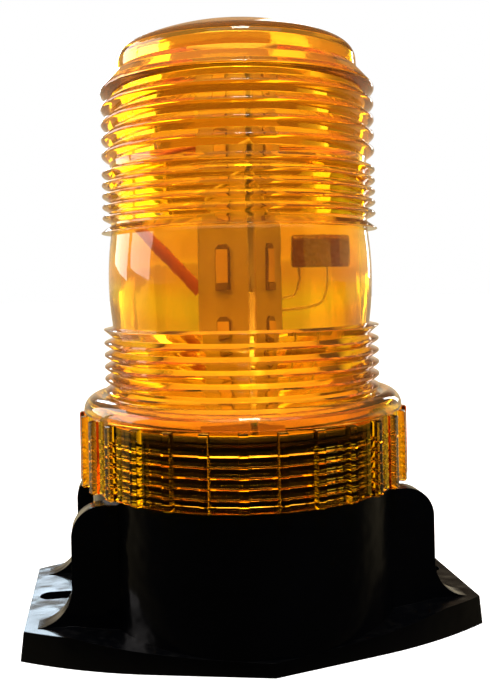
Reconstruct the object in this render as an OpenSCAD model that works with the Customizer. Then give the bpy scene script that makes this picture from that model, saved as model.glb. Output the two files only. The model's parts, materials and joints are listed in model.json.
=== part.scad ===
// Amber warning beacon with a two-slot base: a ribbed screw-on lens over a
// four-sided LED tower, on a moulded housing with the driver electronics inside.
// Frame: +Z up, the long side of the base along X, origin at the centre of the base's underside.

/* [Base housing] */
// Length of the flange, end to end
flange_l = 127; // [120:0.5:135]
// Height of the flange at its two ears
flange_h = 8; // [7:0.5:10]
// Height of the flange's rim at the front and back centre
rim_h = 3.8; // [3.4:0.1:5]
// Radius of the round middle of the housing
drum_r = 44.7; // [44.5:0.1:44.8]
// Height of the shoulder that the lens closes on
drum_h = 40; // [38.5:0.1:40]
// Distance from the centre to the outer end of each corner post
post_x = 50; // [48:0.5:51]
// Height of the corner posts beside the screw pockets
post_h = 39.2; // [34:0.2:39.6]
// Half the depth of the housing over its corner posts
post_y = 24; // [23:0.5:24.5]
// Thickness of each corner post and of its gusset
post_t = 6; // [5:0.5:8]

/* [Mounting slots] */
// Distance between the centres of the two slots
slot_spacing = 110; // [108:0.5:111]
// Width of each slot
slot_w = 6; // [5:0.1:6.4]
// Length of each slot, end to end
slot_l = 10.5; // [8:0.5:11]

/* [Screw joint of the lens] */
// Distance between neighbouring turns of the thread
thread_pitch = 2.7; // [2.5:0.1:2.7]
// Number of turns that hold the lens
thread_turns = 6; // [4:1:6]
// Radius over the ridges of the neck
neck_crest_r = 43.5; // [43.2:0.05:43.55]
// Height of the rim of the neck
neck_top = 57.4; // [57.3:0.1:57.6]

/* [Lens] */
// Height of the lower edge of the grip skirt
skirt_z = 40.4; // [40.3:0.1:40.8]
// Height of the upper end of the grip ribs
skirt_top = 60.6; // [60.4:0.1:60.8]
// Outer radius of the skirt between its grip ribs
skirt_r = 46; // [45.8:0.1:46.2]
// Outer radius over the grip ribs
grip_r = 48.1; // [47.4:0.1:49]
// Number of grip ribs
grip_count = 30; // [24:2:36]
// Turn of the grip ribs about the axis
grip_turn = -2.6; // [-6:0.1:6]
// Width of a grip rib
grip_w = 2.6; // [2:0.1:3]
// Step between the lower edge of the skirt and the foot of its grip ribs
grip_foot = 0.4; // [0.2:0.1:1]
// Radius of the outer wall in the grooves between the rings
groove_r = 37.9; // [37.6:0.1:38.2]
// Radius of the smooth inner wall
bore_r = 35.6; // [35:0.1:36]
// Height of the top of the dome
lens_top = 173.4; // [172:0.2:175]

/* [LED tower] */
// Side of the square that the four boards stand on
tower_w = 19.6; // [18:0.2:20]
// Turn of the tower from the corner-forward position
tower_turn = 6.8; // [0:0.1:12]
// Height of the upper end of the boards
tower_top = 152.6; // [150:0.2:154]
// Distance between neighbouring emitters
emitter_pitch = 17.7; // [17:0.1:18.2]
// Number of emitters on each board
emitters_per_board = 5; // [2:1:5]

/* [Hidden] */
$fn = 96;
eps = 0.01;

// Flange outline: two large arcs, the ends and a blunt nose at the front and back
side_arc_r = 120;
side_arc_y = 42.4;
nose_x = 30;
nose_y = 46.3;
ear_draft = 1;
// Corner posts: rounded top corner, hollow gusset down to the ear
post_round = 8;
gusset_r = 10;
post_root_x = 30;
// Hollow of the housing
cavity_r = 40.4;
cavity_roof = 37.2;
neck_bore_r = 38.9;
ledge_z = 3;
relief_h = 4.2;
relief_wall = 3;
slot_wall = 3.5;
// Thread ridges: on the neck and inside the skirt
ridge_h = 0.8;
ridge_base = 1.7;
ridge_tip = 0.5;
thread_z = 42.8;
skirt_root_r = 44.5;
seal_in_r = 39.6;
seal_out_r = 42.4;
seal_t = 1.4;
skirt_crest_r = 43.75;

// Bottom cover and its fasteners
cover_r = 42.6;
cover_bottom = 0.2;
cover_t = 2;
cover_top = cover_bottom + cover_t;
cover_screw_r = 37;
cover_screw_turn = 45;
boss_r = 4;
boss_h = 12;
screw_hole_r = 1.15;
screw_shank_r = screw_hole_r - 0.02;
screw_clear_r = 1.7;
head_recess_r = 3.1;
cover_head_h = 0.8;
cover_head_z = 0.3;
cable_r = 2.75;
grommet_y = 20;
grommet_r = 4.9;
grommet_flange_r = 6.4;
vent_x = 22;
vent_r = 3.35;
vent_flange_r = 4.6;
vent_flange_t = 1.2;

// Cable clamp: a bar on two posts beside the grommet
clamp_spacing = 18;
clamp_y = grommet_y - 9.5;
clamp_post_r = 3;
clamp_post_h = 3;
clamp_size = [24, 6, 1.6];
clamp_head_h = 1.4;

// Driver board and the bosses that it hangs from
board_t = 1.6;
board_top = 26;
board_r = 39.2;
board_bottom = board_top - board_t;
board_boss_r = 3.8;
board_screw_r = 37;
board_hole_r = 1.6;
small_head_h = 1.3;

// What the driver board carries: places and sizes
choke_x = -18;
choke_y = 14;
choke_h = 13;
choke_flange_r = 8;
choke_flange_t = 1.4;
choke_hub_r = 4;
winding_r = 7.2;
winding_gap = 0.05;
storage_x = 17;
storage_y = 13;
storage_r = 6.3;
storage_h = 19;
storage_bead_h = 1.2;
terminal_size = [15, 8, 10];
terminal_port = [3.8, 5, 4];
terminal_hole_r = 1.9;
terminal_screw_r = 1.7;
terminal_screw_h = 2.2;
transistor_at = [14, -18, board_top + 3];
transistor_body = [10, 4.4, 9];
transistor_tab = [10, 1.3, 15.5];
transistor_hole_r = 1.8;
transistor_leg = [0.8, 0.6, 3.2];
leg_pitch = 2.54;
chip_at = [-10, -20, board_top + 0.3];
chip_size = [9, 5, 1.6];
chip_pin = [0.5, 1.1, 0.9];
chip_pin_pitch = 1.27;
chip_pins_per_side = 7;
resistor_at = [-28, -8];
resistor_size = [2, 1.25, 0.55];
resistor_pitch = 3.4;
resistor_stagger = 2;
resistor_count = 8;

// Reflector disc, its bosses and the foot of the tower
disc_z = 55.4;
disc_t = 1.4;
disc_r = 38.5;
disc_screw_r = 34.6;
disc_boss_h = 10;
disc_head_r = 2.6;
foot_r = 16.5;
foot_t = 1.4;
foot_hole_r = 1;
foot_hole_turn = 200;

// LED boards: they leave a slit open along each corner of the tower
led_board_t = 0.8;
corner_gap = 1.75;
led_board_w = tower_w - 2 * corner_gap;
led_board_z = disc_z;
tower_inset = tower_w / 2 - led_board_t;
first_emitter_z = 60.3;
emitter_w = 4;
emitter_h = 8.3;
emitter_t = 0.9;
frame_w = 4.8;
frame_h = 11.5;
frame_t = 0.6;
frame_chamfer = 1.2;
contact_h = 1.8;
contact_t = 0.5;
tie_t = 1;
tie_hole_r = 5.5;
cap_overhang = 0.6;
cap_plate_t = 1.2;
cap_plug_h = 3;

// Film capacitor beside the tower, and the routes of its legs and of the leads
film_turn = -8.5;
film_x = 15.4;
film_z = 101;
film_size = [17.4, 5, 8];
film_edge = 1.1;
film_leg_r = 0.35;
film_leg_routes = [
    [[17.4, -2.6, 100.9], [17.4, -2.6, 97.5], [16.6, 0, 94.8], [14, 3.4, 94], [10.9, 4.1, 93.8]],
    [[25.7, -3.8, 100.9], [25.7, -3.8, 96.5], [24.6, 0, 92.6], [18, 7, 91.4], [8.7, 5.9, 91]]];
jumper_r = 1.7;
supply_r = 0.9;
jumper_route = [[-12, 2.7, 95.8], [-14.4, 3.1, 98], [-21, 3.8, 103.8], [-27.6, 4.2, 109.8],
    [-31, 4, 115], [-31.4, 3, 122], [-28, 2.4, 129.8], [-20, 2.4, 136], [-14, 2.8, 138.4],
    [-11.8, 2.5, 139]];
supply_route = [[-6, -12, 26.1], [-6, -12, 31], [-7, -14, 38], [-8, -14, 44], [-6, -10, 49],
    [-6, -10, 53.8]];

// Lens: heights of the rings, from the skirt to the dome
shoulder_r = 46.7;
shoulder_z = 61.4;
shoulder_round = 4.4;
lower_ring_z = 66.9;
lower_ring_pitch = 3.45;
lower_ring_count = 5;
lower_ring_below = 2.15;
lower_ring_above = 1.2;
band_bottom = 85.2;
band_top = 112.3;
band_bulge_r = 38.9;
lip_under = 3.2;
lip_edge = 0.6;
lip_over = 2.2;
fine_ring_z = 116.8;
fine_ring_pitch = 3.18;
fine_ring_count = 5;
fine_ring_half = 1.5;
sharp_tip_r = 0.35;
bold_ring_z = 135;
bold_ring_pitch = 4.55;
bold_ring_count = 5;
bold_ring_half = 2.2;
bold_tip_r = 1.3;
ring_crest_r = 40.7;
bold_crest_r = 40.2;
cap_r = 35.4;
cap_z = 157.4;
cap_edge_z = 164.2;
dome_r = 76;
dome_round = 3;
lens_wall = 2.2;

// Screws with a pan head: shank and head, drawn head down at the origin
module pan_screw(shank_r, shank_l, head_r, head_h) {
    difference() {
        union() {
            cylinder(r = head_r, h = head_h);
            translate([0, 0, head_h - eps]) cylinder(r = shank_r, h = shank_l + eps);
        }
        for (a = [0, 90]) rotate([0, 0, a])
            translate([-head_r * 0.55, -head_r * 0.11, -eps])
                cube([head_r * 1.1, head_r * 0.22, head_h * 0.55]);
    }
}

// Copies of a piece on a circle
module on_circle(radius, count, turn) {
    for (i = [0:count - 1])
        rotate([0, 0, turn + i * 360 / count]) translate([radius, 0, 0]) children();
}

// Points of an arc, from angle a0 to a1, in n steps
function arc(cx, cy, r, a0, a1, n) =
    [for (i = [0:n]) let (a = a0 + (a1 - a0) * i / n) [cx + r * cos(a), cy + r * sin(a)]];

// ---------------------------------------------------------------- housing

module flange_outline() {
    intersection() {
        translate([0, side_arc_y - side_arc_r]) circle(r = side_arc_r, $fn = 240);
        translate([0, side_arc_r - side_arc_y]) circle(r = side_arc_r, $fn = 240);
        square([flange_l, 4 * side_arc_y], center = true);
    }
    foot_y = side_arc_y - side_arc_r + sqrt(side_arc_r * side_arc_r - nose_x * nose_x);
    polygon([[-nose_x, foot_y], [0, nose_y], [nose_x, foot_y],
        [nose_x, -foot_y], [0, -nose_y], [-nose_x, -foot_y]]);
}

// Side view of the flange: its top dips from the ears to the middle
module flange_profile() {
    dip = flange_h - rim_h;
    dip_r = (post_x * post_x + dip * dip) / (2 * dip);
    difference() {
        polygon([[-flange_l / 2, 0], [flange_l / 2, 0], [flange_l / 2 - ear_draft, flange_h],
            [-flange_l / 2 + ear_draft, flange_h]]);
        translate([0, rim_h + dip_r]) circle(r = dip_r, $fn = 360);
    }
}

module flange() {
    intersection() {
        linear_extrude(flange_h + 1) flange_outline();
        translate([0, 60, 0]) rotate([90, 0, 0]) linear_extrude(120) flange_profile();
    }
}

// Side view of one corner post with the gusset that runs out along the ear
module post_profile() {
    difference() {
        union() {
            translate([post_root_x, 1])
                square([post_x - post_round - post_root_x, post_h - 1]);
            translate([post_root_x, 1])
                square([post_x - post_root_x, post_h - post_round - 1]);
            translate([post_x - post_round, post_h - post_round]) circle(r = post_round);
            translate([post_x - eps, 1])
                square([gusset_r - ear_draft, flange_h + gusset_r - 1]);
        }
        translate([post_x + gusset_r, flange_h + gusset_r]) circle(r = gusset_r);
    }
}

module corner_posts() {
    for (sx = [0, 1]) for (sy = [0, 1])
        mirror([sx, 0, 0]) mirror([0, sy, 0])
            translate([0, post_y, 0]) rotate([90, 0, 0]) linear_extrude(post_t) post_profile();
}

// Ridges of the thread, drawn as closed rings, on the neck's own profile
function ridge(z, root_r, crest_r) = [
    [root_r, z - ridge_base / 2], [crest_r, z - ridge_tip / 2],
    [crest_r, z + ridge_tip / 2], [root_r, z + ridge_base / 2]];

module neck() {
    root_r = neck_crest_r - ridge_h;
    ridges = [for (i = [0:thread_turns - 1]) each ridge(thread_z + i * thread_pitch, root_r, neck_crest_r)];
    rotate_extrude($fn = 180)
        polygon(concat([[neck_bore_r - 1, drum_h - 1], [root_r, drum_h - 1]], ridges,
            [[root_r, neck_top - 0.5], [root_r - 0.5, neck_top], [neck_bore_r - 1, neck_top]]));
}

module slot(height) {
    half = (slot_l - slot_w) / 2;
    for (s = [-1, 1]) translate([s * half, 0, 0]) cylinder(r = slot_w / 2, h = height);
    translate([-half, -slot_w / 2, 0]) cube([2 * half, slot_w, height]);
}

// Hollow under each ear, around the wall of its slot
module ear_relief() {
    x0 = drum_r + 1;
    x1 = flange_l / 2 - relief_wall;
    difference() {
        translate([x0, -post_y + relief_wall, -1])
            cube([x1 - x0, 2 * (post_y - relief_wall), relief_h + 1]);
        translate([slot_spacing / 2 - slot_l / 2 - slot_wall, -slot_w / 2 - slot_wall, -2])
            cube([slot_l + 2 * slot_wall, slot_w + 2 * slot_wall, relief_h + 3]);
    }
}

module base_housing() {
    color([0.02, 0.02, 0.025]) difference() {
        union() {
            difference() {
                union() {
                    flange();
                    cylinder(r = drum_r, h = drum_h, $fn = 180);
                    corner_posts();
                    neck();
                }
                translate([0, 0, -1]) cylinder(r = cover_r + 0.2, h = ledge_z + 1, $fn = 180);
                translate([0, 0, ledge_z - eps]) cylinder(r = cavity_r, h = cavity_roof - ledge_z, $fn = 180);
                translate([0, 0, cavity_roof - 1]) cylinder(r = neck_bore_r, h = 40, $fn = 180);
                for (s = [0, 1]) mirror([s, 0, 0]) ear_relief();
            }
            intersection() {
                cylinder(r = drum_r - 1, h = neck_top - 1);
                union() {
                    on_circle(cover_screw_r, 4, cover_screw_turn)
                        translate([0, 0, cover_top]) cylinder(r = boss_r, h = boss_h, $fn = 48);
                    on_circle(board_screw_r, 4, 0)
                        translate([0, 0, board_top])
                            cylinder(r = board_boss_r, h = cavity_roof - board_top + 1, $fn = 48);
                    on_circle(disc_screw_r + 1, 3, 90)
                        translate([0, 0, disc_z - disc_boss_h])
                            cylinder(r = board_boss_r, h = disc_boss_h, $fn = 48);
                }
            }
        }
        for (s = [-1, 1]) translate([s * slot_spacing / 2, 0, -1]) slot(flange_h + 3);
        on_circle(cover_screw_r, 4, cover_screw_turn)
            translate([0, 0, cover_top - 1]) cylinder(r = screw_hole_r, h = boss_h - 1, $fn = 32);
        on_circle(board_screw_r, 4, 0)
            translate([0, 0, board_top - 1]) cylinder(r = screw_hole_r, h = 9, $fn = 32);
        on_circle(disc_screw_r, 3, 90)
            translate([0, 0, disc_z - 8]) cylinder(r = screw_hole_r, h = 10, $fn = 32);
    }
}

// ---------------------------------------------------------------- underside

module at_clamp_screws() {
    for (s = [-1, 1]) translate([s * clamp_spacing / 2, clamp_y, 0]) children();
}

module bottom_cover() {
    color([0.05, 0.05, 0.055]) difference() {
        translate([0, 0, cover_bottom]) cylinder(r = cover_r, h = cover_t, $fn = 180);
        on_circle(cover_screw_r, 4, cover_screw_turn) {
            translate([0, 0, -1]) cylinder(r = screw_clear_r, h = 6, $fn = 32);
            translate([0, 0, -1]) cylinder(r = head_recess_r, h = 1 + cover_head_z + cover_head_h, $fn = 32);
        }
        translate([0, grommet_y, -1]) cylinder(r = grommet_r + 0.1, h = 6, $fn = 48);
        translate([vent_x, 0, -1]) cylinder(r = vent_r + 0.05, h = 6, $fn = 48);
    }
    color([0.05, 0.05, 0.055]) at_clamp_screws() difference() {
        translate([0, 0, cover_top - eps]) cylinder(r = clamp_post_r, h = clamp_post_h + eps, $fn = 32);
        translate([0, 0, cover_top + 0.2]) cylinder(r = screw_hole_r, h = 6, $fn = 32);
    }
}

module cover_gasket() {
    color([0.1, 0.1, 0.1]) translate([0, 0, cover_top]) difference() {
        cylinder(r = cover_r, h = ledge_z - cover_top, $fn = 180);
        translate([0, 0, -1]) cylinder(r = cavity_r + 0.7, h = 4, $fn = 180);
    }
}

module cover_screws() {
    color([0.75, 0.75, 0.77]) on_circle(cover_screw_r, 4, cover_screw_turn)
        translate([0, 0, cover_head_z]) pan_screw(screw_shank_r, 8.6, head_recess_r - 0.3, cover_head_h);
}

module vent_plug() {
    color([0.3, 0.3, 0.32]) translate([vent_x, 0, 0]) {
        translate([0, 0, cover_bottom]) cylinder(r = vent_r, h = cover_t + 0.1, $fn = 48);
        difference() {
            translate([0, 0, cover_top]) cylinder(r = vent_flange_r, h = vent_flange_t, $fn = 48);
            on_circle(vent_r - 0.75, 6, 0)
                translate([0, 0, cover_top + vent_flange_t / 2]) cylinder(r = 0.5, h = 2, $fn = 24);
        }
    }
}

module cable_grommet() {
    top = cover_top + 5;
    color([0.08, 0.08, 0.08]) translate([0, grommet_y, 0]) rotate_extrude($fn = 64)
        polygon([[cable_r, cover_bottom + 0.1], [grommet_r, cover_bottom + 0.1], [grommet_r, cover_top],
            [grommet_flange_r, cover_top + 0.02], [grommet_flange_r, cover_top + 1.4],
            [cable_r + 1.45, top], [cable_r, top]]);
}

module cable_clamp() {
    clamp_z = cover_top + clamp_post_h;
    color([0.12, 0.12, 0.13]) difference() {
        translate([-clamp_size.x / 2, clamp_y - clamp_size.y / 2, clamp_z]) cube(clamp_size);
        at_clamp_screws() translate([0, 0, clamp_z - 1]) cylinder(r = screw_clear_r - 0.2, h = 4, $fn = 32);
    }
}

module clamp_screws() {
    clamp_top = cover_top + clamp_post_h + clamp_size.z;
    color([0.75, 0.75, 0.77]) at_clamp_screws()
        translate([0, 0, clamp_top + clamp_head_h]) mirror([0, 0, 1])
            pan_screw(screw_shank_r, clamp_size.z + clamp_post_h - 0.4, 2.4, clamp_head_h);
}

// ---------------------------------------------------------------- lens

// One ring of the lens: a wedge with a rounded tip, its foot reaching below and above the tip
function ring(z, crest_r, below, above, tip) = concat(
    [[groove_r, z - below]],
    arc(crest_r - tip, z, tip, -60, 60, 6),
    [[groove_r, z + above]]);

function lower_rings() = [for (i = [0:lower_ring_count - 1]) each ring(
    lower_ring_z + i * lower_ring_pitch, ring_crest_r, lower_ring_below, lower_ring_above, sharp_tip_r)];
function fine_rings() = [for (i = [0:fine_ring_count - 1]) each ring(
    fine_ring_z + i * fine_ring_pitch, ring_crest_r, fine_ring_half, fine_ring_half, sharp_tip_r)];
function bold_rings() = [for (i = [0:bold_ring_count - 1]) each ring(
    bold_ring_z + i * bold_ring_pitch, bold_crest_r, bold_ring_half, bold_ring_half, bold_tip_r)];

// Clear band between the rings: a shallow barrel between two sharp-edged lips
function clear_band() = let (
    half = (band_top - band_bottom) / 2,
    rise = band_bulge_r - groove_r,
    r = (half * half + rise * rise) / (2 * rise),
    a = asin(half / r)) concat(
    [[groove_r, band_bottom - lip_under], [ring_crest_r, band_bottom - lip_edge - 0.2],
        [ring_crest_r - 0.1, band_bottom - lip_edge]],
    arc(band_bulge_r - r, band_bottom + half, r, -a, a, 16),
    [[ring_crest_r, band_top], [ring_crest_r, band_top + 0.25], [groove_r, band_top + lip_over]]);

// Dome: a short upright edge, a rounded corner and a wide spherical cap
function dome() = let (
    cy = lens_top - dome_r,
    corner_x = cap_r - dome_round,
    reach = dome_r - dome_round,
    corner_y = cy + sqrt(reach * reach - corner_x * corner_x),
    a = atan2(corner_y - cy, corner_x)) concat(
    [[groove_r, cap_z - 0.6], [cap_r + 0.3, cap_z]],
    arc(corner_x, corner_y, dome_round, 0, a, 6),
    arc(0, cy, dome_r, a + 2, 90, 14));

// Inside of the dome, from the crown down to the bore
function dome_inside() = let (
    r = dome_r - lens_wall,
    cy = lens_top - dome_r,
    x = cap_r - lens_wall - 1,
    a = acos(x / r)) concat(
    arc(0, cy, r, 90, a, 10),
    [[cap_r - lens_wall, cap_edge_z - 1.5], [cap_r - lens_wall, cap_z - 0.5], [bore_r, cap_z - 3]]);

// Inside of the skirt: the ridges of its thread, from the top down
function skirt_inside() = [for (i = [thread_turns - 1:-1:0])
    let (z = thread_z + (i + 0.5) * thread_pitch - thread_pitch)
    each [[skirt_root_r, z + ridge_base / 2], [skirt_crest_r, z + ridge_tip / 2],
        [skirt_crest_r, z - ridge_tip / 2], [skirt_root_r, z - ridge_base / 2]]];

module lens() {
    lip_r = seal_in_r + 0.4;
    lip_z = neck_top + seal_t + 0.2;
    lip_top = shoulder_z + 2;
    color([1, 0.55, 0.05, 0.55]) {
        rotate_extrude($fn = 180) polygon(concat(
            [[skirt_root_r, skirt_z], [skirt_r, skirt_z], [skirt_r, skirt_top + 0.2],
                [shoulder_r, skirt_top + 0.6]],
            arc(shoulder_r - shoulder_round, shoulder_z, shoulder_round, 0, 90, 8),
            lower_rings(), clear_band(), fine_rings(), bold_rings(), dome(), dome_inside(),
            [[bore_r, lip_top + 1.2], [bore_r + 1.2, lip_top], [lip_r, lip_top], [lip_r, lip_z],
                [lip_r + 1.6, lip_z], [lip_r + 1.6, lip_top]],
            arc(skirt_root_r - 1.8, lip_top - 1.8, 1.8, 80, 0, 5), skirt_inside()));
        on_circle(skirt_r - 0.6, grip_count, grip_turn) translate([0, -grip_w / 2, skirt_z + grip_foot])
            cube([grip_r - skirt_r + 0.6, grip_w, skirt_top - skirt_z - grip_foot]);
    }
}

module lens_seal() {
    color([0.07, 0.07, 0.07]) translate([0, 0, neck_top]) difference() {
        cylinder(r = seal_out_r, h = seal_t, $fn = 180);
        translate([0, 0, -1]) cylinder(r = seal_in_r, h = seal_t + 2, $fn = 180);
    }
}

// ---------------------------------------------------------------- tower

// Places a piece on one face of the tower: x across the board, y outward, z up
module on_face(i) {
    rotate([0, 0, 45 + tower_turn + i * 90]) children();
}

module reflector_disc() {
    opening = tower_w + 0.8;
    color([0.9, 0.9, 0.88]) difference() {
        translate([0, 0, disc_z]) cylinder(r = disc_r, h = disc_t, $fn = 180);
        on_face(0) translate([-opening / 2, -opening / 2, disc_z - 1]) cube([opening, opening, 4]);
        on_circle(disc_screw_r, 3, 90)
            translate([0, 0, disc_z - 1]) cylinder(r = board_hole_r, h = 4, $fn = 32);
    }
}

module disc_screws() {
    color([0.75, 0.75, 0.77]) on_circle(disc_screw_r, 3, 90)
        translate([0, 0, disc_z + disc_t + small_head_h]) mirror([0, 0, 1])
            pan_screw(screw_shank_r, 6.5, disc_head_r, small_head_h);
}

// Round board under the disc that the four LED boards stand on
module tower_foot() {
    color([0.1, 0.35, 0.15]) difference() {
        translate([0, 0, disc_z - foot_t]) cylinder(r = foot_r, h = foot_t);
        on_circle(foot_r - 4, 2, foot_hole_turn)
            translate([0, 0, disc_z - 4]) cylinder(r = foot_hole_r, h = 8, $fn = 24);
    }
}

module led_board(i) {
    color([0.85, 0.83, 0.75]) on_face(i)
        translate([-led_board_w / 2, tower_inset, led_board_z])
            cube([led_board_w, led_board_t, tower_top - led_board_z]);
}

// Housing of one emitter: a plate with bevelled upper corners and its contact block
module emitter_frame() {
    rotate([90, 0, 180]) linear_extrude(frame_t)
        polygon([[-frame_w / 2, 0], [frame_w / 2, 0], [frame_w / 2, frame_h - frame_chamfer],
            [frame_w / 2 - frame_chamfer, frame_h], [-frame_w / 2 + frame_chamfer, frame_h],
            [-frame_w / 2, frame_h - frame_chamfer]]);
    translate([-emitter_w / 2, frame_t - eps, 0]) cube([emitter_w, contact_t, contact_h]);
}

module emitter_frames(i) {
    color([0.25, 0.16, 0.08]) on_face(i) for (k = [0:emitters_per_board - 1])
        translate([0, tower_w / 2, first_emitter_z + k * emitter_pitch]) emitter_frame();
}

module emitters(i) {
    color([1, 0.75, 0.2]) on_face(i) for (k = [0:emitters_per_board - 1])
        translate([-emitter_w / 2, tower_w / 2 + frame_t, first_emitter_z + k * emitter_pitch
            + contact_h + 0.1]) cube([emitter_w, emitter_t - frame_t, emitter_h]);
}

// Spacer plates across the inside of the tower, one at the foot of each row of emitters
module tower_ties() {
    side = 2 * tower_inset - 0.1;
    color([0.5, 0.4, 0.2]) for (k = [0:emitters_per_board - 1])
        translate([0, 0, first_emitter_z + k * emitter_pitch - tie_t / 2]) difference() {
            on_face(0) translate([-side / 2, -side / 2, 0]) cube([side, side, tie_t]);
            translate([0, 0, -1]) cylinder(r = tie_hole_r, h = 4, $fn = 48);
        }
}

module tower_cap() {
    side = tower_w + 2 * cap_overhang;
    plug = 2 * tower_inset - 0.4;
    color([0.85, 0.85, 0.82]) on_face(0) {
        translate([-side / 2, -side / 2, tower_top]) cube([side, side, cap_plate_t]);
        translate([-plug / 2, -plug / 2, tower_top - cap_plug_h]) cube([plug, plug, cap_plug_h + 0.1]);
    }
}

// ---------------------------------------------------------------- driver

module driver_board() {
    color([0.1, 0.35, 0.15]) difference() {
        translate([0, 0, board_bottom]) cylinder(r = board_r, h = board_t, $fn = 180);
        on_circle(board_screw_r, 4, 0)
            translate([0, 0, board_bottom - 1]) cylinder(r = board_hole_r, h = 4, $fn = 32);
        on_circle(cover_screw_r, 4, cover_screw_turn)
            translate([0, 0, board_bottom - 1]) cylinder(r = boss_r + 0.6, h = 4, $fn = 48);
    }
}

module driver_screws() {
    color([0.75, 0.75, 0.77]) on_circle(board_screw_r, 4, 0)
        translate([0, 0, board_bottom - small_head_h]) pan_screw(screw_shank_r, 8, 2.5, small_head_h);
}

// Terminal block for the supply cable, on the underside of the board
module terminal_block() {
    color([0.1, 0.45, 0.2])
        translate([-terminal_size.x / 2, -terminal_size.y / 2, board_bottom - terminal_size.z]) difference() {
            cube(terminal_size);
            for (s = [0.25, 0.75]) {
                translate([s * terminal_size.x - terminal_port.x / 2, terminal_size.y / 2, 2])
                    cube(terminal_port);
                translate([s * terminal_size.x, terminal_size.y / 2, -1])
                    cylinder(r = terminal_hole_r, h = 4, $fn = 32);
            }
        }
}

module terminal_screws() {
    color([0.75, 0.75, 0.77]) for (s = [-1, 1])
        translate([s * terminal_size.x / 4, 0, board_bottom - terminal_size.z + 0.4]) difference() {
            cylinder(r = terminal_screw_r, h = terminal_screw_h, $fn = 32);
            translate([-2, -0.25, -1]) cube([4, 0.5, 1.7]);
        }
}

module storage_capacitor() {
    color([0.1, 0.12, 0.25]) translate([storage_x, storage_y, board_top]) {
        cylinder(r = storage_r, h = storage_h);
        translate([0, 0, 0.4]) difference() {
            cylinder(r = storage_r + 0.2, h = storage_bead_h);
            translate([0, 0, -1]) cylinder(r = storage_r - 0.3, h = 4);
        }
    }
}

// Wound choke: a ferrite spool with its copper winding
module choke_core() {
    color([0.15, 0.15, 0.16]) translate([choke_x, choke_y, board_top]) {
        cylinder(r = choke_flange_r, h = choke_flange_t);
        cylinder(r = choke_hub_r, h = choke_h);
        translate([0, 0, choke_h - choke_flange_t]) cylinder(r = choke_flange_r, h = choke_flange_t);
    }
}

module choke_coil() {
    color([0.72, 0.36, 0.14]) translate([choke_x, choke_y, board_top + choke_flange_t + winding_gap])
        difference() {
            cylinder(r = winding_r, h = choke_h - 2 * choke_flange_t - 2 * winding_gap);
            translate([0, 0, -1]) cylinder(r = choke_hub_r + winding_gap, h = choke_h);
        }
}

module switch_transistor() {
    tab_y = transistor_body.y - 0.4;
    color([0.12, 0.12, 0.13]) translate(transistor_at) cube(transistor_body);
    color([0.7, 0.7, 0.72]) translate(transistor_at) {
        difference() {
            translate([0, tab_y, 0]) cube(transistor_tab);
            translate([transistor_tab.x / 2, tab_y + 4, transistor_tab.z - 3.5])
                rotate([90, 0, 0]) cylinder(r = transistor_hole_r, h = 6, $fn = 32);
        }
        for (k = [-1:1]) translate([transistor_body.x / 2 + k * leg_pitch - transistor_leg.x / 2,
            transistor_body.y / 2 - transistor_leg.y / 2, 0.2 - transistor_leg.z]) cube(transistor_leg);
    }
}

module control_chip() {
    first_x = (chip_size.x - (chip_pins_per_side - 1) * chip_pin_pitch - chip_pin.x) / 2;
    color([0.08, 0.08, 0.09]) translate(chip_at) cube(chip_size);
    color([0.75, 0.75, 0.77]) translate([chip_at.x, chip_at.y, board_top])
        for (k = [0:chip_pins_per_side - 1]) for (y = [0.1 - chip_pin.y, chip_size.y - 0.1])
            translate([first_x + k * chip_pin_pitch, y, 0]) cube(chip_pin);
}

module chip_resistors() {
    color([0.1, 0.1, 0.1]) for (k = [0:resistor_count - 1])
        translate([resistor_at.x + k * resistor_pitch, resistor_at.y - resistor_stagger * (k % 2), board_top])
            cube(resistor_size);
}

// Film capacitor that stands off one side of the tower on two stiff legs
module film_capacitor() {
    color([0.3, 0.14, 0.06]) rotate([0, 0, film_turn]) difference() {
        translate([film_x, -film_size.y / 2, film_z]) cube(film_size);
        for (s = [-1, 1]) translate([film_x - 1, s * film_size.y / 2, film_z + film_size.z])
            rotate([45, 0, 0]) translate([0, -film_edge / 2, -film_edge / 2])
                cube([film_size.x + 2, film_edge, film_edge]);
    }
}

// Tube swept along a route: rings of eight points, closed at both ends
function unit(v) = v / norm(v);
function heading(p, i) = unit(p[min(i + 1, len(p) - 1)] - p[max(i - 1, 0)]);
function side_of(d) = unit(cross(d, abs(d.z) > 0.9 ? [0, 1, 0] : [0, 0, 1]));
// Catmull-Rom curve through the route's points
function smooth(p, steps) = concat([for (i = [0:len(p) - 2]) for (k = [0:steps - 1])
    let (t = k / steps, a = p[max(i - 1, 0)], b = p[i], c = p[i + 1], d = p[min(i + 2, len(p) - 1)])
    0.5 * (2 * b + (c - a) * t + (2 * a - 5 * b + 4 * c - d) * t * t
        + (3 * b - a - 3 * c + d) * t * t * t)], [p[len(p) - 1]]);

// The side vector is carried from ring to ring, so that the tube doesn't twist
function carried(path, i, v) = let (d = heading(path, i)) unit(v - d * (v * d));
function sides(path) = [for (i = 0, v = side_of(heading(path, 0)); i < len(path);
    i = i + 1, v = i < len(path) ? carried(path, i, v) : v) v];

module wire(route, r, steps = 4) {
    path = smooth(route, steps);
    across = sides(path);
    n = len(path);
    ring_points = [for (i = [0:n - 1]) let (u = across[i], w = cross(heading(path, i), u))
        for (a = [0:45:315]) path[i] + r * (cos(a) * u + sin(a) * w)];
    walls = [for (i = [0:n - 2]) for (k = [0:7]) let (m = (k + 1) % 8)
        each [[i * 8 + k, (i + 1) * 8 + k, i * 8 + m], [i * 8 + m, (i + 1) * 8 + k, (i + 1) * 8 + m]]];
    polyhedron(ring_points, concat([[for (k = [0:7]) k]], walls,
        [[for (k = [7:-1:0]) (n - 1) * 8 + k]]));
}

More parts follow.
